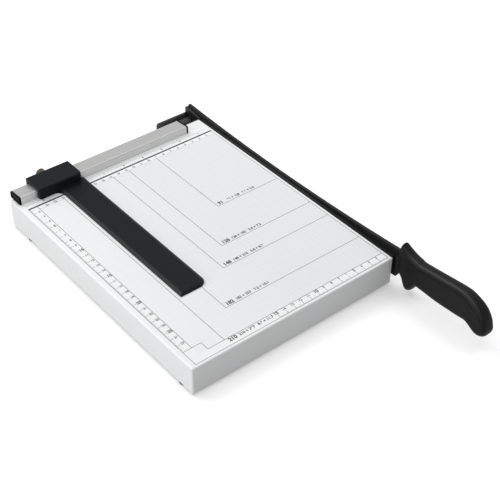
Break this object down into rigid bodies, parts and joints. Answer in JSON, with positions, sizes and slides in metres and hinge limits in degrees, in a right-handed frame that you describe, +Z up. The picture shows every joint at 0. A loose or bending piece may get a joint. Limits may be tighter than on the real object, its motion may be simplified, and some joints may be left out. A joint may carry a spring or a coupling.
{
  "type": "paper cutter",
  "caption": "Desk paper cutter: a flat steel board on rubber feet, a fence rail with a sliding T-shaped paper stop, and a bellied knife with a moulded handle on a sprung pivot.",
  "frame": {"origin": "middle of the whole box in x and y, at the bottom of the feet", "axes": "+Z up from the table, +Y from the handle towards the fence rail, +X towards the knife"},
  "size_m": [0.2642, 0.47, 0.0559],
  "materials": {
    "white_paint": "satin",
    "foot_rubber": "matte",
    "rail_metal": "satin",
    "black_plastic": "matte",
    "handle_plastic": "satin",
    "black_steel": "satin",
    "zinc_steel": "satin",
    "spring_steel": "satin",
    "brass": "satin"
  },
  "bodies": {
    "base": {"base_pan": "white_paint", "feet": "foot_rubber", "fence_rail": "rail_metal", "rail_cap_left": "black_plastic", "rail_cap_right": "black_plastic", "rail_screws": "zinc_steel", "fixed_blade": "black_steel", "fixed_blade_screws": "zinc_steel", "fixed_blade_nuts": "zinc_steel", "pivot_bracket": "black_steel", "bracket_screws": "zinc_steel", "bracket_nuts": "zinc_steel"},
    "knife": {"knife_arm": "black_steel", "handle": "handle_plastic", "handle_screws": "zinc_steel", "pivot_bolt": "zinc_steel", "head_washer": "zinc_steel", "spring_washers": "zinc_steel", "pivot_spring": "spring_steel", "pivot_nut": "zinc_steel"},
    "stop": {"paper_stop": "black_plastic", "stop_insert": "brass"},
    "thumb": {"thumb_screw": "brass"}
  },
  "joints": [
    {"name": "knife_swing", "type": "hinge", "parent": "base", "child": "knife", "pos_m": [0.12387, 0.22595, 0.023], "axis": [-1, 0, 0], "range_deg": [0, 75]},
    {"name": "stop_slide", "type": "slide", "parent": "base", "child": "stop", "axis": [1, 0, 0], "range_m": [-0.022, 0.145]},
    {"name": "thumb_turn", "type": "hinge", "parent": "stop", "child": "thumb", "pos_m": [-0.08448, 0.21745, 0.03903], "axis": [0, 1, 0], "range_deg": [0, 270]}
  ]
}
